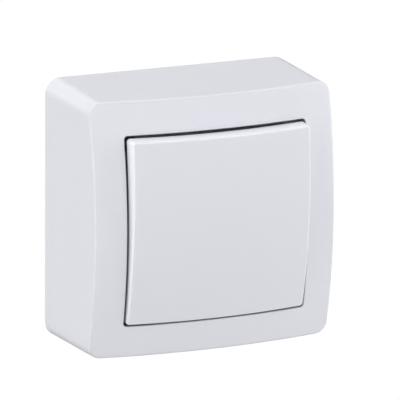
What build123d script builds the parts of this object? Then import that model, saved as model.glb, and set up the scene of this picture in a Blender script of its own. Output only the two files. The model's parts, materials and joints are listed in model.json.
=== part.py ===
from build123d import *
import math
import os

# Surface mounted light switch with one large rocker.
# Each piece is drawn lying on its back: x to the right, y up, z out of the wall.
# The last step stands it up, so the wall is the plane Y = 0 and the front faces -Y.

# Small sizes used in many places
cut_margin = 1.0
inner_corner_radius = 1.0

# Cover
cover_width = 76.0
cover_height = 76.0
crown_radius_across = 172.0
crown_radius_up = 149.0
side_draft = 1.5
cover_corner_radius = 4.5
cover_edge_radius = 0.9
cover_wall = 2.0
front_wall = 2.2
crown_reach = 1.2

# Well for the rocker
well_width = 55.9
well_height = 55.3
well_depth = 10.3
well_corner_radius = 1.0
well_edge_radius = 0.3
well_wall = 1.6
well_floor_wall = 1.8
well_window_clearance = 2.0
well_window_radius = 3.0

# Ribs and break-out places inside the cover
cover_rib_wall = 1.2
cover_rib_spacing = 28.0
knockout_width = 16.0
knockout_height = 18.0
knockout_groove = 1.0
knockout_cut = 0.6

# Wall base
base_wall = 2.2
base_clearance = 0.3
base_rim_wall = 1.5
base_rim_height = 7.0
wall_screw_spacing = 60.0
wall_slot_length = 3.0
wall_slot_radius = 2.2
wall_slot_pad = 1.6
wall_slot_pad_height = 0.8
cable_window_width = 24.0
cable_window_height = 11.0
cable_window_clearance = 1.5
cable_window_radius = 1.5
post_radius = 3.0
post_inset = 3.1
gusset_wall = 1.2
gusset_length = 6.0
gusset_height = 16.0
seat_height = 3.8
seat_radius = 3.6

# Screws
screw_clearance = 0.1
cover_screw_radius = 1.25
cover_screw_head = 2.6
cover_screw_length = 14.0
long_screw_radius = 1.4
long_screw_head = 2.7
long_screw_head_height = 1.6
long_screw_bite = 3.4
long_screw_inset = 4.0
screw_slot_width = 0.7
screw_slot_cut = 0.7
screw_rim_share = 0.3

# Contacts and terminals
strip_wall = 1.0
strip_width = 6.0
strip_clearance = 0.1
strip_corner_radius = 0.4
fulcrum_width = 2.0
fulcrum_height = 2.5
fulcrum_clearance = 0.05
lever_wall = 1.0
lever_width = 6.0
lever_length = 20.0
lever_lug = 1.6
lever_ratio = 1.5
tip_inset = 1.5
tip_radius = 1.5
moving_tip_height = 0.6
tip_dome = 0.25
contact_clearance = 0.05
wire_room = 3.1
wire_clearance = 0.15
clamp_width = 6.8
clamp_length = 4.6
clamp_wall = 1.0
clamp_front_wall = 2.0
clamp_clearance = 0.4
clamp_corner_radius = 0.6
clamp_screw_radius = 1.2
clamp_screw_head = 2.0
clamp_screw_head_height = 1.6

# Mechanism housing and its lid
housing_floor = 2.0
housing_corner_radius = 2.0
chamber_width = 16.0
chamber_end = 2.0
chamber_rise = 2.5
lever_room = 5.0
bay_wall = 1.5
bay_side_clearance = 0.6
lid_height = 5.0
lid_wall = 2.0
lid_corner_radius = 2.0
lid_window_clearance = 0.9
ear_wall = 2.8
ear_width = 9.0
ear_rim = 1.4
ear_clearance = 0.7
ear_inset = 0.2
access_hole_clearance = 0.4

# Cradle under the rocker
pivot_rise = 9.4
cradle_rise = 2.6
cradle_height = 34.0
cradle_wall = 2.0
cradle_corner_radius = 1.5
cheek_height = 12.0
cheek_drop = 3.5
cheek_corner_radius = 3.0
trunnion_radius = 1.6
trunnion_clearance = 0.06
trunnion_end = 0.5
hook_width = 5.0
hook_wall = 1.5
hook_spacing = 20.0
hook_barb = 0.8
hook_barb_height = 1.4
hook_lead = 0.5
snap_clearance = 0.12
rib_wall = 1.4

# Spring boss, plunger and spring
boss_wall = 1.3
boss_drop = 2.0
bore_radius = 2.5
plunger_clearance = 0.06
plunger_nose_radius = 1.3
plunger_stroke = 0.6
plunger_shoulder_clearance = 1.0
lever_clearance = 0.1
spring_length = 5.5
spring_wire = 0.5
spring_turns = 5
spring_clearance = 0.25

# Rocker
rocker_rise = 3.9
rocker_side_gap = 0.5
rocker_end_gap = 0.6
rocker_proud = 2.6
rocker_tilt = 4.0
rocker_edge_radius = 0.8
rocker_corner_radius = 1.0
rocker_wall = 1.8
rocker_rim_height = 4.3
rocker_rim_step = 1.0
rocker_skirt_wall = 1.4
rocker_skirt_clearance = 3.0
rocker_draft = 0.4

# Distances from the wall, from the back plate out to the front
seat_depth = base_wall + seat_height
bay_floor = seat_depth + housing_floor
chamber_floor = bay_floor + chamber_rise
strip_front = chamber_floor + strip_wall
lever_back_depth = strip_front + fulcrum_height
lever_front = lever_back_depth + lever_wall
clamp_front_depth = strip_front + wire_room + clamp_front_wall
housing_depth = lever_front + lever_room
lid_depth = housing_depth + lid_height
boss_depth = lid_depth - boss_drop
pivot_depth = lid_depth + pivot_rise
cradle_front_depth = pivot_depth + cradle_rise
rocker_depth = cradle_front_depth + rocker_rise
crown_depth = rocker_depth - rocker_proud
well_floor_depth = crown_depth - well_depth
well_underside = well_floor_depth - well_floor_wall
rocker_skirt_depth = well_floor_depth + rocker_skirt_clearance
spring_seat_depth = cradle_front_depth - rib_wall
plunger_top_depth = spring_seat_depth - spring_length
plunger_tip_depth = lever_front + lever_clearance
plunger_shoulder_depth = boss_depth - plunger_stroke - plunger_shoulder_clearance

# Widths and places across the front
rocker_width = well_width - 2 * rocker_side_gap
rocker_height = well_height - 2 * rocker_end_gap
post_x = well_width / 2 - post_inset
post_y = well_height / 2 - post_inset
chamber_height = lever_length + 2 * chamber_end
tip_place = lever_length / 2 - tip_inset
bay_near = chamber_height / 2 + bay_wall
bay_length = clamp_length + clamp_clearance
bay_width = clamp_width + 2 * bay_side_clearance
clamp_middle = bay_near + clamp_clearance + clamp_length / 2
housing_half = bay_near + bay_length + bay_wall
housing_size = 2 * housing_half
long_screw_place = housing_half - long_screw_inset
well_window = housing_size + 2 * well_window_clearance
cable_window_drop = housing_half + cable_window_clearance + cable_window_height / 2
wire_hole_radius = wire_room / 2 + wire_clearance
access_hole_radius = clamp_screw_head + access_hole_clearance
ear_x = housing_half - ear_inset - ear_wall
cheek_x = ear_x - ear_clearance
cradle_width = 2 * cheek_x
boss_radius = bore_radius + boss_wall
boss_swing = (pivot_depth - housing_depth) * math.sin(math.radians(rocker_tilt))
plunger_radius = bore_radius - plunger_clearance
spring_radius = bore_radius - spring_clearance - spring_wire / 2
lever_tilt = rocker_tilt * lever_ratio
front_reach = rocker_depth + rocker_wall


def block(width, height, low, high, x=0.0, y=0.0, radius=0.0):
    # A plate or block between two distances from the wall, with rounded corners
    if radius > 0:
        outline = RectangleRounded(width, height, radius)
    else:
        outline = Rectangle(width, height)
    return Pos(x, y, low) * extrude(outline, amount=high - low)


def rod(radius, low, high, x=0.0, y=0.0):
    return Pos(x, y, low) * extrude(Circle(radius), amount=high - low)


def crown_block(front_depth):
    # Everything between the wall and a front that bulges both ways:
    # an upright arc turned about an upright line far behind the wall
    reach = crown_reach * cover_height / 2
    sag = crown_radius_up - math.sqrt(crown_radius_up**2 - reach**2)
    back = -cover_wall
    arc = ThreePointArc((-reach, front_depth - sag), (0, front_depth), (reach, front_depth - sag))
    sides = Polyline(
        (reach, front_depth - sag),
        (reach, back),
        (-reach, back),
        (-reach, front_depth - sag),
    )
    profile = Plane.YZ * make_face(arc + sides)
    turn_line = Axis((0, 0, front_depth - crown_radius_across), (0, 1, 0))
    half_turn = math.degrees(math.asin(crown_reach * cover_width / 2 / (crown_radius_across - front_depth)))
    turned = revolve(profile, axis=turn_line, revolution_arc=2 * half_turn)
    return turned.rotate(turn_line, -half_turn)


def drafted_block(width, height, radius, depth):
    # Sides lean in a little towards the front, as they leave the mould
    return extrude(RectangleRounded(width, height, radius), amount=depth, taper=side_draft)


def corner_places(x, y):
    # Two opposite corners: upper left and lower right
    return [(-x, y), (x, -y)]


def cover_cavity():
    inner_radius = cover_corner_radius - cover_wall
    inner = drafted_block(
        cover_width - 2 * cover_wall,
        cover_height - 2 * cover_wall,
        inner_radius,
        crown_depth,
    )
    hollow = inner & crown_block(crown_depth - front_wall)
    well = block(
        well_width + 2 * well_wall,
        well_height + 2 * well_wall,
        well_underside,
        crown_depth,
        radius=well_corner_radius + well_wall,
    )
    hollow -= well
    for place in (-cover_rib_spacing / 2, cover_rib_spacing / 2):
        hollow -= block(cover_rib_wall, cover_height, well_underside, crown_depth, x=place)
        hollow -= block(cover_width, cover_rib_wall, well_underside, crown_depth, y=place)
    return hollow


def knockout_groove_at(side):
    # A thin line inside the skirt, so that a cable entry can be broken out
    outline = Rectangle(knockout_width, knockout_height)
    inside = Rectangle(knockout_width - 2 * knockout_groove, knockout_height - knockout_groove)
    ring = Pos(0, knockout_height / 2) * outline
    ring -= Pos(0, (knockout_height - knockout_groove) / 2) * inside
    inner_face = cover_height / 2 - cover_wall
    groove = extrude(Plane.XZ * ring, amount=inner_face + knockout_cut, both=True)
    far = block(cover_width, 2 * cover_height, -cut_margin, crown_depth, y=-side * cover_height)
    return groove - far


def cover():
    outer = drafted_block(cover_width, cover_height, cover_corner_radius, crown_depth + cover_wall)
    outer &= crown_block(crown_depth)
    front = outer.faces().sort_by(Axis.Z)[-1]
    outer = fillet(front.edges(), cover_edge_radius)
    shell = outer - cover_cavity()
    shell -= block(well_width, well_height, well_floor_depth, front_reach, radius=well_corner_radius)
    front = shell.faces().sort_by(Axis.Z)[-1]
    shell = fillet(front.inner_wires()[0].edges(), well_edge_radius)
    shell -= block(
        well_window,
        well_window,
        well_underside - cut_margin,
        well_floor_depth + cut_margin,
        radius=well_window_radius,
    )
    for x, y in corner_places(post_x, post_y):
        shell -= Pos(x, y, well_floor_depth) * countersink()
    for side in (-1, 1):
        shell -= knockout_groove_at(side)
    return shell


def countersink():
    # The space that a cover screw needs in the floor of the well
    head = cover_screw_head + screw_clearance
    hole = cover_screw_radius + screw_clearance
    slope = head - hole
    bottom = -well_floor_wall - cut_margin
    outline = Polyline(
        (0, cut_margin),
        (head, cut_margin),
        (head, 0),
        (hole, -slope),
        (hole, bottom),
        (0, bottom),
        close=True,
    )
    return revolve(Plane.XZ * make_face(outline), axis=Axis.Z)


def screw_slot(head_radius):
    length = 2 * (head_radius + cut_margin)
    return block(length, screw_slot_width, -screw_slot_cut, cut_margin)


def cover_screw():
    slope = cover_screw_head - cover_screw_radius
    point = -cover_screw_length
    outline = Polyline(
        (0, 0),
        (cover_screw_head, 0),
        (cover_screw_radius, -slope),
        (cover_screw_radius, point + cover_screw_radius),
        (0, point),
        close=True,
    )
    return revolve(Plane.XZ * make_face(outline), axis=Axis.Z) - screw_slot(cover_screw_head)


def cover_screws():
    sunk = screw_clearance
    return [Pos(x, y, well_floor_depth - sunk) * cover_screw() for x, y in corner_places(post_x, post_y)]


def dome_arc(radius, low, high):
    # Arc of a ball's top, from its rim to its highest point
    ball = (radius**2 + (high - low) ** 2) / (2 * (high - low))
    half_angle = math.asin(radius / ball) / 2
    middle = (ball * math.sin(half_angle), high - ball + ball * math.cos(half_angle))
    return ThreePointArc((radius, low), middle, (0, high))


def pan_screw(radius, head_radius, head_height, length):
    # Round head above zero, shank below it
    rim = head_height * screw_rim_share
    outline = Polyline(
        (0, head_height),
        (0, -length),
        (radius, -length),
        (radius, 0),
        (head_radius, 0),
        (head_radius, rim),
    )
    outline += dome_arc(head_radius, rim, head_height)
    shape = revolve(Plane.XZ * make_face(outline), axis=Axis.Z)
    return shape - Pos(0, 0, head_height) * screw_slot(head_radius)


def wall_base():
    width = cover_width - 2 * cover_wall - 2 * base_clearance
    height = cover_height - 2 * cover_wall - 2 * base_clearance
    radius = cover_corner_radius - cover_wall
    plate = block(width, height, 0, base_wall, radius=radius)
    rim = drafted_block(width, height, radius, base_rim_height)
    rim -= block(
        width - 2 * base_rim_wall,
        height - 2 * base_rim_wall,
        0,
        base_rim_height + cut_margin,
        radius=inner_corner_radius,
    )
    base = (plate & drafted_block(width, height, radius, base_wall)) + rim
    for x, y in corner_places(post_x, post_y):
        base += rod(post_radius, 0, well_underside, x, y)
        gusset = 2 * (post_radius + gusset_length)
        toward = (math.copysign(1, x), math.copysign(1, y))
        for wide, tall in ((gusset, gusset_wall), (gusset_wall, gusset)):
            rib = block(wide, tall, 0, gusset_height, x, y)
            keep = block(gusset, gusset, 0, gusset_height, x + toward[0] * gusset / 2, y)
            keep += block(gusset, gusset, 0, gusset_height, x, y + toward[1] * gusset / 2)
            base += rib & keep & drafted_block(width, height, radius, gusset_height)
        bore = cover_screw_radius + screw_clearance
        base -= rod(bore, well_underside - cover_screw_length, well_underside + cut_margin, x, y)
    for x in (-1, 1):
        for y in (-1, 1):
            place = (x * long_screw_place, y * long_screw_place)
            base += rod(seat_radius, 0, seat_depth, *place)
    bore = long_screw_radius + screw_clearance
    bottom = seat_depth - long_screw_bite - cut_margin
    for x, y in corner_places(-long_screw_place, long_screw_place):
        base -= rod(bore, bottom, seat_depth + cut_margin, x, y)
    for side in (-1, 1):
        place = Pos(side * wall_screw_spacing / 2, 0)
        slot = SlotCenterToCenter(wall_slot_length, 2 * wall_slot_radius)
        pad = SlotCenterToCenter(wall_slot_length, 2 * (wall_slot_radius + wall_slot_pad))
        base += extrude(place * pad, amount=base_wall + wall_slot_pad_height)
        base -= Pos(0, 0, -cut_margin) * extrude(place * slot, amount=base_rim_height)
    base -= block(
        cable_window_width,
        cable_window_height,
        -cut_margin,
        base_rim_height,
        y=-cable_window_drop,
        radius=cable_window_radius,
    )
    return base


def bay_rotations():
    # Upper, lower and common terminal: the bay points up, down and left
    return {"upper": 0, "lower": 180, "common": 90}


def terminal_bay():
    # Pocket, strip slot and wire hole of the upper terminal
    top = housing_depth + cut_margin
    pocket = block(bay_width, bay_length, bay_floor, top, y=bay_near + bay_length / 2)
    near = chamber_height / 2 - cut_margin
    slot_height = strip_wall + 2 * strip_clearance
    slot = block(
        strip_width + 2 * strip_clearance,
        bay_near - near + cut_margin,
        chamber_floor - strip_clearance,
        chamber_floor - strip_clearance + slot_height,
        y=(near + bay_near + cut_margin) / 2,
    )
    hole = extrude(Plane.XZ * Circle(wire_hole_radius), amount=bay_wall + 2 * cut_margin)
    hole = Pos(0, housing_half + cut_margin, strip_front + wire_hole_radius) * hole
    return pocket + slot + hole


def mechanism_housing():
    shape = block(housing_size, housing_size, seat_depth, housing_depth, radius=housing_corner_radius)
    shape -= block(
        chamber_width,
        chamber_height,
        chamber_floor,
        housing_depth + cut_margin,
        radius=inner_corner_radius,
    )
    for angle in bay_rotations().values():
        shape -= Rot(0, 0, angle) * terminal_bay()
    # the common strip runs from the chamber to its bay at the side
    run = bay_near - chamber_width / 2 + 2 * cut_margin
    shape -= block(
        run,
        strip_width + 2 * strip_clearance,
        chamber_floor - strip_clearance,
        strip_front + strip_clearance,
        x=-(chamber_width / 2 + run / 2 - cut_margin),
    )
    bore = long_screw_radius + screw_clearance
    for x, y in corner_places(-long_screw_place, long_screw_place):
        shape -= rod(bore, seat_depth - cut_margin, housing_depth + cut_margin, x, y)
    return shape


def ear():
    # Upright lug with a round end about the pivot, drawn for the right-hand side
    outer = trunnion_radius + trunnion_clearance + ear_rim
    foot = lid_depth - lid_wall - pivot_depth
    outline = Circle(outer) + Pos(0, foot / 2) * Rectangle(2 * outer, -foot)
    flare = Polyline(
        (-ear_width / 2, foot),
        (ear_width / 2, foot),
        (outer, foot / 3),
        (-outer, foot / 3),
        close=True,
    )
    outline += make_face(flare)
    outline -= Circle(trunnion_radius + trunnion_clearance)
    return Pos(ear_x, 0, pivot_depth) * extrude(Plane.YZ * outline, amount=ear_wall)


def mechanism_cover():
    shape = block(housing_size, housing_size, housing_depth, lid_depth, radius=lid_corner_radius)
    inner = housing_size - 2 * lid_wall
    low = housing_depth - cut_margin
    high = lid_depth - lid_wall
    hollow = block(inner, chamber_height, low, high, radius=inner_corner_radius)
    hollow += block(chamber_height, inner, low, high, radius=inner_corner_radius)
    shape -= hollow
    top = lid_depth + cut_margin
    window = 2 * (boss_radius + lid_window_clearance)
    shape -= block(window, window + 2 * boss_swing, low, top, radius=lid_window_clearance)
    for angle in bay_rotations().values():
        shape -= Rot(0, 0, angle) * rod(access_hole_radius, low, top, y=clamp_middle)
    bore = long_screw_radius + screw_clearance
    for x, y in corner_places(-long_screw_place, long_screw_place):
        shape -= rod(bore, low, top, x, y)
    right = ear()
    return shape + right + mirror(right, about=Plane.YZ)


def mechanism_screws():
    length = lid_depth - seat_depth + long_screw_bite
    screw = pan_screw(long_screw_radius, long_screw_head, long_screw_head_height, length)
    return [
        Pos(x, y, lid_depth) * screw
        for x, y in corner_places(-long_screw_place, long_screw_place)
    ]


def strip_end():
    return clamp_middle + clamp_length / 2 - clamp_clearance


def strip_blank(near):
    # Stamped strip with a narrower tongue that goes into the clamp
    far = strip_end()
    tongue = clamp_width - 2 * clamp_wall - 2 * strip_clearance
    step = (strip_width - tongue) / 2
    outline = Pos(0, (near + bay_near) / 2) * Rectangle(strip_width, bay_near - near)
    outline += Pos(0, (near + far) / 2) * Rectangle(tongue, far - near)
    outline = fillet(outline.vertices(), min(strip_corner_radius, step / 2 - strip_clearance))
    return Pos(0, 0, chamber_floor) * extrude(outline, amount=strip_wall)


def contact_strip():
    # Flat strip of the upper contact, from under its rivet to its clamp
    return strip_blank(tip_place - tip_radius - strip_wall)


def fixed_tip():
    height = fixed_tip_front() - strip_front
    return Pos(0, tip_place, strip_front) * domed_rivet(height)


def domed_rivet(height):
    outline = Polyline((0, height), (0, 0), (tip_radius, 0), (tip_radius, height - tip_dome))
    outline += dome_arc(tip_radius, height - tip_dome, height)
    return revolve(Plane.XZ * make_face(outline), axis=Axis.Z)


def fixed_tip_front():
    # Where the tilted lever's rivet comes to, less a hair
    turn = math.radians(lever_tilt)
    drop = tip_place * math.sin(turn) + moving_tip_height * math.cos(turn)
    return lever_back_depth - drop - contact_clearance


def common_terminal():
    strip = Rot(0, 0, 90) * strip_blank(-lever_width / 2)
    apex = lever_back_depth - fulcrum_clearance
    shoulder = apex - fulcrum_width / 2
    half = fulcrum_width / 2
    edge = Polyline(
        (-half, chamber_floor),
        (half, chamber_floor),
        (half, shoulder),
        (0, apex),
        (-half, shoulder),
        close=True,
    )
    ridge = extrude(Plane.YZ * make_face(edge), amount=lever_width / 2, both=True)
    return strip + ridge


def box_clamp():
    # Square frame round strip and wire, of the upper terminal
    low = chamber_floor - clamp_wall - clamp_clearance
    frame = block(clamp_width, clamp_length, low, clamp_front_depth, y=clamp_middle)
    frame = fillet(frame.edges().filter_by(Axis.Y), clamp_corner_radius)
    window = block(
        clamp_width - 2 * clamp_wall,
        clamp_length + 2 * cut_margin,
        low + clamp_wall,
        clamp_front_depth - clamp_front_wall,
        y=clamp_middle,
    )
    bore = rod(
        clamp_screw_radius + screw_clearance,
        strip_front,
        clamp_front_depth + cut_margin,
        y=clamp_middle,
    )
    return frame - window - bore


def clamp_screw():
    length = clamp_front_depth + clamp_clearance - strip_front - contact_clearance
    screw = pan_screw(clamp_screw_radius, clamp_screw_head, clamp_screw_head_height, length)
    return Pos(0, clamp_middle, clamp_front_depth + clamp_clearance) * screw


def contact_lever():
    # Flat seesaw with round ends and two lugs that keep it on the fulcrum
    straight = lever_length - lever_width
    outline = Rot(0, 0, 90) * SlotCenterToCenter(straight, lever_width)
    lever = Pos(0, 0, lever_back_depth) * extrude(outline, amount=lever_wall)
    lug_height = fulcrum_width + lever_wall
    for side in (-1, 1):
        lever += block(
            lever_wall,
            lug_height,
            lever_back_depth - lever_lug,
            lever_front,
            x=side * (lever_width / 2 + lever_wall / 2 + fulcrum_clearance),
        )
        lever += block(
            lever_wall * 2,
            lug_height,
            lever_back_depth,
            lever_front,
            x=side * (lever_width / 2 + fulcrum_clearance),
        )
    return tilt_lever(lever)


def tilt_lever(shape):
    turn_line = Axis((0, 0, lever_back_depth), (1, 0, 0))
    return shape.rotate(turn_line, -lever_tilt)


def moving_tip(side):
    rivet = Rot(180, 0, 0) * domed_rivet(moving_tip_height)
    return tilt_lever(Pos(0, side * tip_place, lever_back_depth) * rivet)


def tilt_rocker(shape):
    turn_line = Axis((0, 0, pivot_depth), (1, 0, 0))
    return shape.rotate(turn_line, rocker_tilt)


def rocker_form(width, height, radius, front):
    form = Pos(0, 0, rocker_skirt_depth) * extrude(
        RectangleRounded(width, height, radius), amount=front_reach, taper=rocker_draft
    )
    return form & crown_block(front)


def hook(side_x, side_y):
    # Leg with a barb that snaps behind the cradle's plate
    plate_back = cradle_front_depth - cradle_wall
    near = cradle_height / 2 + snap_clearance
    tip = plate_back - snap_clearance - hook_barb_height
    outline = Polyline(
        (near, rocker_depth),
        (near, plate_back - snap_clearance),
        (near - hook_barb, plate_back - snap_clearance),
        (near - hook_barb, plate_back - snap_clearance - hook_lead),
        (near, tip),
        (near + hook_wall, tip),
        (near + hook_wall, rocker_depth),
        close=True,
    )
    leg = extrude(Plane.YZ * make_face(outline), amount=hook_width / 2, both=True)
    if side_y < 0:
        leg = mirror(leg, about=Plane.XZ)
    return Pos(side_x * hook_spacing / 2, 0) * leg


def rocker():
    outer = rocker_form(rocker_width, rocker_height, rocker_corner_radius, rocker_depth)
    front = outer.faces().sort_by(Axis.Z)[-1]
    rim = fillet(front.edges(), rocker_edge_radius) - crown_block(rocker_depth - rocker_rim_height)
    # behind the rim the skirt steps in, so that it swings clear of the well
    skirt = rocker_form(
        rocker_width - 2 * rocker_rim_step,
        rocker_height - 2 * rocker_rim_step,
        rocker_corner_radius,
        rocker_depth - rocker_wall / 2,
    )
    inset = rocker_rim_step + rocker_skirt_wall
    inner = rocker_form(
        rocker_width - 2 * inset,
        rocker_height - 2 * inset,
        rocker_corner_radius / 2,
        rocker_depth - rocker_wall,
    )
    shell = rim + skirt - inner
    inside = crown_block(rocker_depth - rocker_wall / 2)
    rib_length = cradle_height / 2 - boss_radius
    rib_places = (boss_radius + cradle_height / 2) / 2
    for side_x in (-1, 1):
        for side_y in (-1, 1):
            shell += hook(side_x, side_y) & inside
            rib = block(
                rib_wall,
                rib_length,
                cradle_front_depth,
                rocker_depth,
                x=side_x * hook_spacing / 2,
                y=side_y * rib_places,
            )
            shell += rib & inside
    return tilt_rocker(shell)


def cradle():
    plate_back = cradle_front_depth - cradle_wall
    shape = block(
        cradle_width,
        cradle_height,
        plate_back,
        cradle_front_depth,
        radius=cradle_corner_radius,
    )
    shape += rod(boss_radius, boss_depth, cradle_front_depth)
    pin_outer = ear_x + ear_wall + trunnion_end
    for side in (-1, 1):
        cheek = block(
            cradle_wall,
            cheek_height,
            pivot_depth - cheek_drop,
            cradle_front_depth,
            x=side * (cheek_x - cradle_wall / 2),
        )
        shape += fillet(cheek.edges().filter_by(Axis.X).sort_by(Axis.Z)[:2], cheek_corner_radius)
        pin = Plane.YZ * Circle(trunnion_radius)
        pin = extrude(pin, amount=pin_outer - cheek_x + cradle_wall / 2)
        pin = Pos(cheek_x - cradle_wall / 2, 0, pivot_depth) * pin
        shape += pin if side > 0 else mirror(pin, about=Plane.YZ)
        root = boss_radius - rib_wall
        web = block(
            cheek_x - root,
            rib_wall,
            pivot_depth - cheek_drop,
            cradle_front_depth,
            x=side * (root + cheek_x) / 2,
        )
        shape += web
    shape -= rod(bore_radius, boss_depth - cut_margin, spring_seat_depth)
    return tilt_rocker(shape)


def plunger():
    # Round rod with a shoulder cone and a ball nose
    tip = plunger_tip_depth
    ball = plunger_nose_radius
    shoulder = plunger_shoulder_depth
    cone = plunger_radius - ball
    half = ball * math.sqrt(0.5)
    outline = Polyline(
        (0, tip),
        (0, plunger_top_depth),
        (plunger_radius, plunger_top_depth),
        (plunger_radius, shoulder),
        (ball, shoulder - cone),
        (ball, tip + ball),
    )
    outline += ThreePointArc((ball, tip + ball), (half, tip + ball - half), (0, tip))
    return tilt_rocker(revolve(Plane.XZ * make_face(outline), axis=Axis.Z))


def plunger_spring():
    low = plunger_top_depth + spring_wire / 2
    high = spring_seat_depth - spring_wire / 2
    pitch = (high - low) / spring_turns
    path = Pos(0, 0, low) * Helix(pitch=pitch, height=high - low, radius=spring_radius)
    section = Plane(origin=path @ 0, z_dir=path % 0) * Circle(spring_wire / 2)
    return tilt_rocker(sweep(section, path=path, is_frenet=True))


def as_solids(shape):
    # A group of separate solids stays a group, one solid stays one
    group = shape if isinstance(shape, list) else [shape]
    found = [solid for item in group for solid in item.solids()]
    return found[0] if len(found) == 1 else Compound(found)


def pieces():
    made = {
        "wall_base": wall_base(),
        "cover": cover(),
        "cover_screws": cover_screws(),
        "mechanism_housing": mechanism_housing(),
        "mechanism_cover": mechanism_cover(),
        "mechanism_screws": mechanism_screws(),
        "common_terminal": common_terminal(),
        "contact_lever": contact_lever(),
        "upper_moving_tip": moving_tip(1),
        "lower_moving_tip": moving_tip(-1),
        "rocker": rocker(),
        "cradle": cradle(),
        "plunger": plunger(),
        "plunger_spring": plunger_spring(),
    }
    for name, angle in bay_rotations().items():
        turn = Rot(0, 0, angle)
        made[f"{name}_clamp"] = turn * box_clamp()
        made[f"{name}_clamp_screw"] = turn * clamp_screw()
        if name != "common":
            made[f"{name}_contact_plate"] = turn * contact_strip()
            made[f"{name}_fixed_tip"] = turn * fixed_tip()
    return made


os.makedirs("parts", exist_ok=True)
for name, shape in pieces().items():
    standing = Rot(90, 0, 0) * as_solids(shape)
    export_step(standing, f"parts/{name}.step")
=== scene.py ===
import bpy
import json
import math
from mathutils import Matrix, Vector


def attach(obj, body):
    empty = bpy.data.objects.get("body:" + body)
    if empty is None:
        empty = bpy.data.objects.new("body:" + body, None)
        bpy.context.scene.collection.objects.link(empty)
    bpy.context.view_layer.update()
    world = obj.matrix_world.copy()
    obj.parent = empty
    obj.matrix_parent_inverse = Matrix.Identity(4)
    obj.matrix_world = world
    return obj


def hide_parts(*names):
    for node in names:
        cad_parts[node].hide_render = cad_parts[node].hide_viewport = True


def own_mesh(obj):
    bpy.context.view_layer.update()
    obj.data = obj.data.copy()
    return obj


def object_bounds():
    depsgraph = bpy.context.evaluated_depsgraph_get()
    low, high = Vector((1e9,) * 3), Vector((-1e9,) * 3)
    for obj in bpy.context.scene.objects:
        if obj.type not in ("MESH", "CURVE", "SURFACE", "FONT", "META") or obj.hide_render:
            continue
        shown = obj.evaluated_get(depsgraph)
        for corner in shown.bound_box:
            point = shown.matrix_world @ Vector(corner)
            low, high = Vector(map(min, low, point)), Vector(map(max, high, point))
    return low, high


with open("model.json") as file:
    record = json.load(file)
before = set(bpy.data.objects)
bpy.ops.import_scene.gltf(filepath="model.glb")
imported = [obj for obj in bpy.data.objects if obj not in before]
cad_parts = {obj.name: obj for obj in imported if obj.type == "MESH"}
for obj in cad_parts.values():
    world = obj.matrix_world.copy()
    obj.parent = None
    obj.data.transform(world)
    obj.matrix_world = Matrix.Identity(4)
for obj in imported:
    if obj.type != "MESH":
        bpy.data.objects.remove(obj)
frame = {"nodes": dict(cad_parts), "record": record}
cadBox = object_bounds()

nodes = frame["nodes"]
print("stage: frame loaded,", len(nodes), "nodes")

mm = 0.001


# Shader groups, each built once and placed in the materials with its own values

edgeMask = {"faceTurn": 0.06, "edgeTurn": 0.18}         # 1 - cosine of the turn away from a face
creviceMask = {"hiddenLow": 0.05, "hiddenHigh": 0.65}   # share of the sky that is hidden


def newGroup(name, inputs, outputs):
    group = bpy.data.node_groups.new(name, "ShaderNodeTree")
    for label, kind, value in inputs:
        socket = group.interface.new_socket(name=label, in_out="INPUT", socket_type=kind)
        socket.default_value = value
    for label, kind in outputs:
        group.interface.new_socket(name=label, in_out="OUTPUT", socket_type=kind)
    start = group.nodes.new("NodeGroupInput")
    end = group.nodes.new("NodeGroupOutput")
    return group, start, end


def addNoise(group, vector, scale, detail):
    noise = group.nodes.new("ShaderNodeTexNoise")
    noise.inputs["Detail"].default_value = detail
    group.links.new(vector, noise.inputs["Vector"])
    if isinstance(scale, (int, float)):
        noise.inputs["Scale"].default_value = scale
    else:
        group.links.new(scale, noise.inputs["Scale"])
    return noise.outputs["Fac"]


def addMath(group, operation, first, second):
    node = group.nodes.new("ShaderNodeMath")
    node.operation = operation
    for index, value in enumerate((first, second)):
        if isinstance(value, (int, float)):
            node.inputs[index].default_value = value
        else:
            group.links.new(value, node.inputs[index])
    return node.outputs[0]


def addSpread(group, noise, middle, spread):
    # middle + (noise - 0.5) * spread
    centred = addMath(group, "SUBTRACT", noise, 0.5)
    return addMath(group, "ADD", addMath(group, "MULTIPLY", centred, spread), middle)


def addScaled(group, colour, level):
    scaled = group.nodes.new("ShaderNodeVectorMath")
    scaled.operation = "SCALE"
    group.links.new(colour, scaled.inputs[0])
    group.links.new(level, scaled.inputs["Scale"])
    return scaled.outputs[0]


def addRamp(group, value, low, high):
    # 0 at low and under, 1 at high and over
    ramp = group.nodes.new("ShaderNodeMapRange")
    ramp.inputs["From Min"].default_value = low
    ramp.inputs["From Max"].default_value = high
    group.links.new(value, ramp.inputs["Value"])
    return ramp.outputs["Result"]


def addEdgeMasks(group, normal):
    # ridge: where one face rounds into the next, for painted shade; rim: all that turns away from the
    # front, for a painted highlight
    size = group.nodes.new("ShaderNodeVectorMath")
    size.operation = "ABSOLUTE"
    parts = group.nodes.new("ShaderNodeSeparateXYZ")
    group.links.new(normal, size.inputs[0])
    group.links.new(size.outputs[0], parts.inputs[0])
    x, y, z = parts.outputs
    straight = addMath(group, "MAXIMUM", addMath(group, "MAXIMUM", x, y), z)
    low = edgeMask["faceTurn"]
    high = edgeMask["edgeTurn"]
    ridge = addRamp(group, addMath(group, "SUBTRACT", 1.0, straight), low, high)
    rim = addRamp(group, addMath(group, "SUBTRACT", 1.0, y), low, high)
    return ridge, rim


skinDetail = {"cloud": 3.0, "ripple": 2.0, "grain": 2.0}


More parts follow.
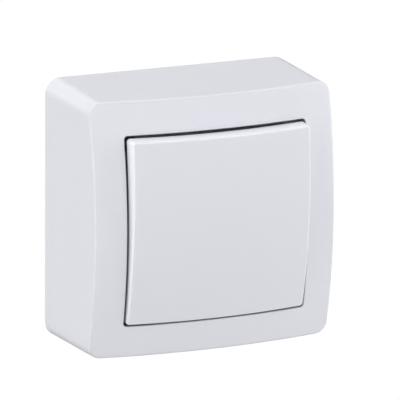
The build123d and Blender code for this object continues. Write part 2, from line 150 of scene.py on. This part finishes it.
def mouldedSkin():
    # fine skin of a moulding: flow clouds in the tone, a soft ripple and a finer grain
    group, start, end = newGroup(
        "mouldedSkin",
        [
            ("Colour", "NodeSocketColor", (0.8, 0.8, 0.8, 1)),
            ("Tone Spread", "NodeSocketFloat", 0.03),
            ("Cloud Scale", "NodeSocketFloat", 40.0),
            ("Ripple Scale", "NodeSocketFloat", 400.0),
            ("Grain Scale", "NodeSocketFloat", 4000.0),
            ("Grain Share", "NodeSocketFloat", 0.3),
            ("Roughness", "NodeSocketFloat", 0.3),
            ("Roughness Spread", "NodeSocketFloat", 0.08),
            ("Ridge Painted Shade", "NodeSocketFloat", 1.0),
            ("Rim Painted Highlight", "NodeSocketFloat", 1.0),
            ("Crevice Painted Shade", "NodeSocketFloat", 1.0),
            ("Open Sky", "NodeSocketFloat", 1.0),
        ],
        [("Colour", "NodeSocketColor"), ("Roughness", "NodeSocketFloat"), ("Height", "NodeSocketFloat")],
    )
    coordinates = group.nodes.new("ShaderNodeTexCoord")
    place = coordinates.outputs["Object"]
    ridge, rim = addEdgeMasks(group, coordinates.outputs["Normal"])
    hidden = addMath(group, "SUBTRACT", 1.0, start.outputs["Open Sky"])
    creviceShade = addRamp(group, hidden, creviceMask["hiddenLow"], creviceMask["hiddenHigh"])
    cloud = addNoise(group, place, start.outputs["Cloud Scale"], skinDetail["cloud"])
    ripple = addNoise(group, place, start.outputs["Ripple Scale"], skinDetail["ripple"])
    grain = addNoise(group, place, start.outputs["Grain Scale"], skinDetail["grain"])
    level = addSpread(group, cloud, 1.0, start.outputs["Tone Spread"])
    # painted shade on ridges and in crevices and a painted highlight on the rim, each scaling the colour
    # by its tone
    for mask, tone in ((ridge, "Ridge Painted Shade"), (rim, "Rim Painted Highlight"), (creviceShade, "Crevice Painted Shade")):
        change = addMath(group, "MULTIPLY", mask, addMath(group, "SUBTRACT", start.outputs[tone], 1.0))
        level = addMath(group, "MULTIPLY", level, addMath(group, "ADD", change, 1.0))
    group.links.new(addScaled(group, start.outputs["Colour"], level), end.inputs["Colour"])
    rough = addSpread(group, cloud, start.outputs["Roughness"], start.outputs["Roughness Spread"])
    group.links.new(rough, end.inputs["Roughness"])
    height = addMath(group, "ADD", ripple, addMath(group, "MULTIPLY", grain, start.outputs["Grain Share"]))
    group.links.new(height, end.inputs["Height"])
    return group


metalDetail = {"streak": 4.0, "blotch": 5.0, "blotchScale": 300.0}


def workedMetal():
    # rolled or turned metal: streaks along one way, blotches of tarnish
    group, start, end = newGroup(
        "workedMetal",
        [
            ("Colour", "NodeSocketColor", (0.8, 0.8, 0.8, 1)),
            ("Tarnish Colour", "NodeSocketColor", (0.5, 0.5, 0.5, 1)),
            ("Tarnish", "NodeSocketFloat", 0.4),
            ("Streak", "NodeSocketVector", (2000.0, 200.0, 200.0)),
            ("Roughness", "NodeSocketFloat", 0.3),
            ("Roughness Spread", "NodeSocketFloat", 0.15),
        ],
        [("Colour", "NodeSocketColor"), ("Roughness", "NodeSocketFloat"), ("Height", "NodeSocketFloat")],
    )
    place = group.nodes.new("ShaderNodeTexCoord").outputs["Object"]
    stretch = group.nodes.new("ShaderNodeVectorMath")
    stretch.operation = "MULTIPLY"
    group.links.new(place, stretch.inputs[0])
    group.links.new(start.outputs["Streak"], stretch.inputs[1])
    streak = addNoise(group, stretch.outputs[0], 1.0, metalDetail["streak"])
    blotch = addNoise(group, place, metalDetail["blotchScale"], metalDetail["blotch"])
    amount = addMath(group, "MULTIPLY", blotch, start.outputs["Tarnish"])
    mix = group.nodes.new("ShaderNodeMix")
    mix.data_type = "RGBA"
    group.links.new(amount, mix.inputs["Factor"])
    group.links.new(start.outputs["Colour"], mix.inputs[6])
    group.links.new(start.outputs["Tarnish Colour"], mix.inputs[7])
    group.links.new(mix.outputs[2], end.inputs["Colour"])
    rough = addSpread(group, streak, start.outputs["Roughness"], start.outputs["Roughness Spread"])
    group.links.new(rough, end.inputs["Roughness"])
    group.links.new(streak, end.inputs["Height"])
    return group


skinGroup = mouldedSkin()
metalGroup = workedMetal()


# Materials

whiteMoulding = {
    "Colour": (0.795, 0.80, 0.845, 1),
    "Tone Spread": 0.012,
    "Cloud Scale": 60.0,
    "Ripple Scale": 700.0,
    "Grain Scale": 5000.0,
    "Grain Share": 0.25,
    "Roughness": 0.30,
    "Roughness Spread": 0.06,
    "bumpDepth": 0.006 * mm,
    "specular": 0.5,
    "Ridge Painted Shade": 0.95,     # painted shade: the outer ridges are a little darker in colour
    # painted shade in narrow gaps, from ambient occlusion
    "Crevice Painted Shade": 0.86,
    "creviceReach": 4 * mm,
    "skyRays": 16,
}
rockerMoulding = {
    **whiteMoulding,
    "Ridge Painted Shade": 1.0,
    "Rim Painted Highlight": 1.08,       # painted highlight: the rocker's rim is lighter in colour
    "Crevice Painted Shade": 0.72,
    "Roughness": 0.42,
}
baseMoulding = {
    "Colour": (0.72, 0.72, 0.73, 1),
    "Tone Spread": 0.05,
    "Cloud Scale": 90.0,
    "Ripple Scale": 900.0,
    "Grain Scale": 6000.0,
    "Grain Share": 0.8,
    "Roughness": 0.55,
    "Roughness Spread": 0.1,
    "bumpDepth": 0.02 * mm,
    "specular": 0.5,
}
mechanismMoulding = {
    "Colour": (0.42, 0.42, 0.40, 1),
    "Tone Spread": 0.12,
    "Cloud Scale": 200.0,
    "Ripple Scale": 1500.0,
    "Grain Scale": 7000.0,
    "Grain Share": 0.8,
    "Roughness": 0.5,
    "Roughness Spread": 0.15,
    "bumpDepth": 0.02 * mm,
    "specular": 0.45,
}
cradleMoulding = {
    "Colour": (0.66, 0.63, 0.55, 1),
    "Tone Spread": 0.06,
    "Cloud Scale": 150.0,
    "Ripple Scale": 900.0,
    "Grain Scale": 6000.0,
    "Grain Share": 0.5,
    "Roughness": 0.42,
    "Roughness Spread": 0.1,
    "bumpDepth": 0.012 * mm,
    "specular": 0.5,
}
brassStrip = {
    "Colour": (0.80, 0.58, 0.26, 1),
    "Tarnish Colour": (0.48, 0.29, 0.12, 1),
    "Tarnish": 0.5,
    "Streak": (300.0, 300.0, 4000.0),
    "Roughness": 0.3,
    "Roughness Spread": 0.2,
    "bumpDepth": 0.01 * mm,
}
platedSteel = {
    "Colour": (0.70, 0.69, 0.66, 1),
    "Tarnish Colour": (0.52, 0.50, 0.42, 1),
    "Tarnish": 0.6,
    "Streak": (1500.0, 1500.0, 1500.0),
    "Roughness": 0.34,
    "Roughness Spread": 0.2,
    "bumpDepth": 0.01 * mm,
}
springWire = {
    "Colour": (0.45, 0.45, 0.46, 1),
    "Tarnish Colour": (0.2, 0.18, 0.16, 1),
    "Tarnish": 0.5,
    "Streak": (2500.0, 2500.0, 2500.0),
    "Roughness": 0.28,
    "Roughness Spread": 0.15,
    "bumpDepth": 0.006 * mm,
}
silverTip = {
    "Colour": (0.86, 0.85, 0.81, 1),
    "Tarnish Colour": (0.45, 0.40, 0.33, 1),
    "Tarnish": 0.35,
    "Streak": (2000.0, 2000.0, 2000.0),
    "Roughness": 0.22,
    "Roughness Spread": 0.15,
    "bumpDepth": 0.004 * mm,
}


mouldingIor = 1.5


def newMaterial(name, look, group):
    material = bpy.data.materials.new(name)
    material.use_nodes = True
    tree = material.node_tree
    tree.nodes.clear()
    out = tree.nodes.new("ShaderNodeOutputMaterial")
    shader = tree.nodes.new("ShaderNodeBsdfPrincipled")
    effect = tree.nodes.new("ShaderNodeGroup")
    effect.node_tree = group
    for key, value in look.items():
        if key in effect.inputs:
            effect.inputs[key].default_value = value
    bump = tree.nodes.new("ShaderNodeBump")
    bump.inputs["Distance"].default_value = look["bumpDepth"]
    bump.inputs["Strength"].default_value = 1.0
    tree.links.new(effect.outputs["Colour"], shader.inputs["Base Color"])
    tree.links.new(effect.outputs["Roughness"], shader.inputs["Roughness"])
    tree.links.new(effect.outputs["Height"], bump.inputs["Height"])
    tree.links.new(bump.outputs["Normal"], shader.inputs["Normal"])
    tree.links.new(shader.outputs["BSDF"], out.inputs["Surface"])
    return material, shader, effect


def moulding(name, look):
    material, shader, effect = newMaterial(name, look, skinGroup)
    if "creviceReach" in look:      # painted shade: ambient occlusion darkens the colour of what lies down in a narrow gap
        sky = material.node_tree.nodes.new("ShaderNodeAmbientOcclusion")
        sky.samples = look["skyRays"]
        sky.inputs["Distance"].default_value = look["creviceReach"]
        material.node_tree.links.new(sky.outputs["AO"], effect.inputs["Open Sky"])
    shader.inputs["Specular IOR Level"].default_value = look["specular"]
    shader.inputs["IOR"].default_value = mouldingIor
    return material


def metal(name, look):
    material, shader = newMaterial(name, look, metalGroup)[:2]
    shader.inputs["Metallic"].default_value = 1.0
    return material


# by the record's material slots
slotMaterials = {
    "white_moulding": moulding("whiteMoulding", whiteMoulding),
    "base_moulding": moulding("baseMoulding", baseMoulding),
    "mechanism_moulding": moulding("mechanismMoulding", mechanismMoulding),
    "cradle_moulding": moulding("cradleMoulding", cradleMoulding),
    "brass": metal("brassStrip", brassStrip),
    "plated_steel": metal("platedSteel", platedSteel),
    "spring_steel": metal("springWire", springWire),
    "silver": metal("silverTip", silverTip),
}

nodeMaterials = {"rocker": moulding("rockerMoulding", rockerMoulding)}   # others take their slot's

for row in frame["record"]["subparts"]:
    piece = nodes[row["node"]]
    material = nodeMaterials.get(row["node"], slotMaterials[row["material_slot"]])
    piece.data.materials.clear()
    piece.data.materials.append(material)
print("stage: materials on", len(nodes), "nodes")


# The cover's shell, with clean normals where its crowned front meets the fine edge of the opening

coverShell = {"name": "coverShell", "sharpAngle": 35.0, "faceWeight": 100}


def buildCoverShell(look):
    mesh = nodes["cover"].data.copy()
    mesh.name = look["name"]
    packed = [layer for layer in mesh.attributes if layer.name in ("custom_normal", "sharp_edge")]
    for layer in packed:
        mesh.attributes.remove(layer)
    mesh.shade_smooth()
    mesh.set_sharp_from_angle(angle=math.radians(look["sharpAngle"]))
    shell = bpy.data.objects.new(look["name"], mesh)
    bpy.context.scene.collection.objects.link(shell)
    normals = shell.modifiers.new("normals", "WEIGHTED_NORMAL")
    normals.weight = look["faceWeight"]
    normals.keep_sharp = True
    bpy.context.view_layer.update()
    view = bpy.context.evaluated_depsgraph_get()
    smooth = bpy.data.meshes.new_from_object(shell.evaluated_get(view), depsgraph=view)
    shell.modifiers.clear()
    shell.data = smooth
    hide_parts("cover")
    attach(shell, "switch_base")


buildCoverShell(coverShell)
print("stage: cover shell")


# The plunger's spring, a copy of the packed coil carried by the rocker unit

springCoil = {"name": "springCoil", "joint": "plunger_slide"}


def buildSpringCoil(look):
    coil = bpy.data.objects.new(look["name"], nodes["plunger_spring"].data.copy())
    coil.data.name = look["name"]
    bpy.context.scene.collection.objects.link(coil)
    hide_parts("plunger_spring")
    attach(coil, "rocker_unit")
    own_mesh(coil)


buildSpringCoil(springCoil)
print("stage: spring coil")


# Floor, lights and camera

floorLook = {"size": 8.0, "drop": 0.9, "colour": (0.6, 0.6, 0.6, 1), "roughness": 0.9, "glow": 1.02}
worldLook = {"colour": (1.0, 1.0, 1.0, 1), "strength": 0.2, "seenStrength": 1.02}
lightAim = (0, -20 * mm, 0)
lightColour = (1.0, 1.0, 1.0)
lights = {
    "highLeftPanel": {"at": (-1.36, -0.29, 1.69), "size": 1.0, "power": 9.5},
    "rearPanel": {"at": (-0.55, 1.94, 0.88), "size": 1.6, "power": 3.0},
    "leftPanel": {"at": (-2.16, -0.33, 0.33), "size": 2.6, "power": 28.5},
    "rearLeftPanel": {"at": (-1.54, 1.10, 1.10), "size": 1.6, "power": 8.0},
    "topPanel": {"at": (0.00, 0.99, 1.96), "size": 2.4, "power": 23.0},
    "rightPanel": {"at": (2.05, -0.44, 0.66), "size": 2.6, "power": 42.0},
    "frontPanel": {"at": (0.22, -2.18, 0.22), "size": 2.6, "power": 22.0},
    "frontLeftPanel": {"at": (-1.10, -1.65, 0.88), "size": 2.4, "power": 4.0},
}


def buildFloor(look):
    half = look["size"] / 2
    z = cadBox[0].z - look["drop"]
    corners = [(-half, -half, z), (half, -half, z), (half, half, z), (-half, half, z)]
    mesh = bpy.data.meshes.new("floorSheet")
    mesh.from_pydata(corners, [], [(0, 1, 2, 3)])
    floor = bpy.data.objects.new("floorSheet", mesh)
    bpy.context.scene.collection.objects.link(floor)
    material = bpy.data.materials.new("floorPaper")
    material.use_nodes = True
    tree = material.node_tree
    shader = tree.nodes["Principled BSDF"]
    shader.inputs["Base Color"].default_value = look["colour"]
    shader.inputs["Roughness"].default_value = look["roughness"]
    # burnt-out white where it is looked at, plain grey paper for the light it throws back
    glow = tree.nodes.new("ShaderNodeEmission")
    glow.inputs["Strength"].default_value = look["glow"]
    mix = tree.nodes.new("ShaderNodeMixShader")
    seen = tree.nodes.new("ShaderNodeLightPath")
    tree.links.new(seen.outputs["Is Camera Ray"], mix.inputs[0])
    tree.links.new(shader.outputs["BSDF"], mix.inputs[1])
    tree.links.new(glow.outputs["Emission"], mix.inputs[2])
    tree.links.new(mix.outputs[0], tree.nodes["Material Output"].inputs["Surface"])
    mesh.materials.append(material)


def buildWorld(look):
    world = bpy.data.worlds.new("paleStudio")
    world.use_nodes = True
    tree = world.node_tree
    light = tree.nodes["Background"]
    seen = tree.nodes.new("ShaderNodeBackground")    # white where it is looked at, as the floor is
    for background, strength in ((light, look["strength"]), (seen, look["seenStrength"])):
        background.inputs["Color"].default_value = look["colour"]
        background.inputs["Strength"].default_value = strength
    path = tree.nodes.new("ShaderNodeLightPath")
    mix = tree.nodes.new("ShaderNodeMixShader")
    tree.links.new(path.outputs["Is Camera Ray"], mix.inputs[0])
    tree.links.new(light.outputs[0], mix.inputs[1])
    tree.links.new(seen.outputs[0], mix.inputs[2])
    tree.links.new(mix.outputs[0], tree.nodes["World Output"].inputs["Surface"])
    bpy.context.scene.world = world


def buildLights(rows):
    target = Vector(lightAim)
    for name, row in rows.items():
        data = bpy.data.lights.new(name, "AREA")
        data.shape = "SQUARE"
        data.size = row["size"]
        data.energy = row["power"]
        data.color = lightColour
        lamp = bpy.data.objects.new(name, data)
        lamp.location = row["at"]
        lamp.rotation_euler = (target - lamp.location).to_track_quat("-Z", "Y").to_euler()
        bpy.context.scene.collection.objects.link(lamp)


cameraLook = {
    "azimuth": 24.282,      # degrees round to the left of the front
    "elevation": 14.462,
    "roll": 0.423,
    "distance": 1.767,
    "lens": 558.5,
    "aim": (0, -20 * mm, 0),
    "across": 1.34 * mm,
    "up": 3.32 * mm,
    "sensor": 36,
    "nearest": 0.05,
    "farthest": 20,
}
viewGamma = 0.8     # a camera's steeper tones


def buildCamera(look):
    azimuth = math.radians(look["azimuth"])
    elevation = math.radians(look["elevation"])
    roll = math.radians(look["roll"])
    level = math.cos(elevation)
    back = Vector((-math.sin(azimuth) * level, -math.cos(azimuth) * level, math.sin(elevation)))
    right = Vector((math.cos(azimuth), -math.sin(azimuth), 0))
    up = back.cross(right)
    turnedRight = math.cos(roll) * right + math.sin(roll) * up
    turnedUp = math.cos(roll) * up - math.sin(roll) * right
    data = bpy.data.cameras.new("studioCamera")
    data.lens = look["lens"]
    data.sensor_width = look["sensor"]
    data.clip_start = look["nearest"]
    data.clip_end = look["farthest"]
    data.dof.use_dof = False
    camera = bpy.data.objects.new("studioCamera", data)
    place = Vector(look["aim"]) + back * look["distance"]
    place += turnedRight * look["across"] + turnedUp * look["up"]
    turn = Matrix((turnedRight, turnedUp, back)).transposed().to_4x4()
    camera.matrix_world = Matrix.Translation(place) @ turn
    bpy.context.scene.collection.objects.link(camera)
    bpy.context.scene.camera = camera


buildFloor(floorLook)
buildWorld(worldLook)
buildLights(lights)
buildCamera(cameraLook)
view = bpy.context.scene.view_settings
view.view_transform = "Standard"
view.look = "None"
view.gamma = viewGamma
print("stage: floor, lights and camera")

bpy.context.view_layer.update()
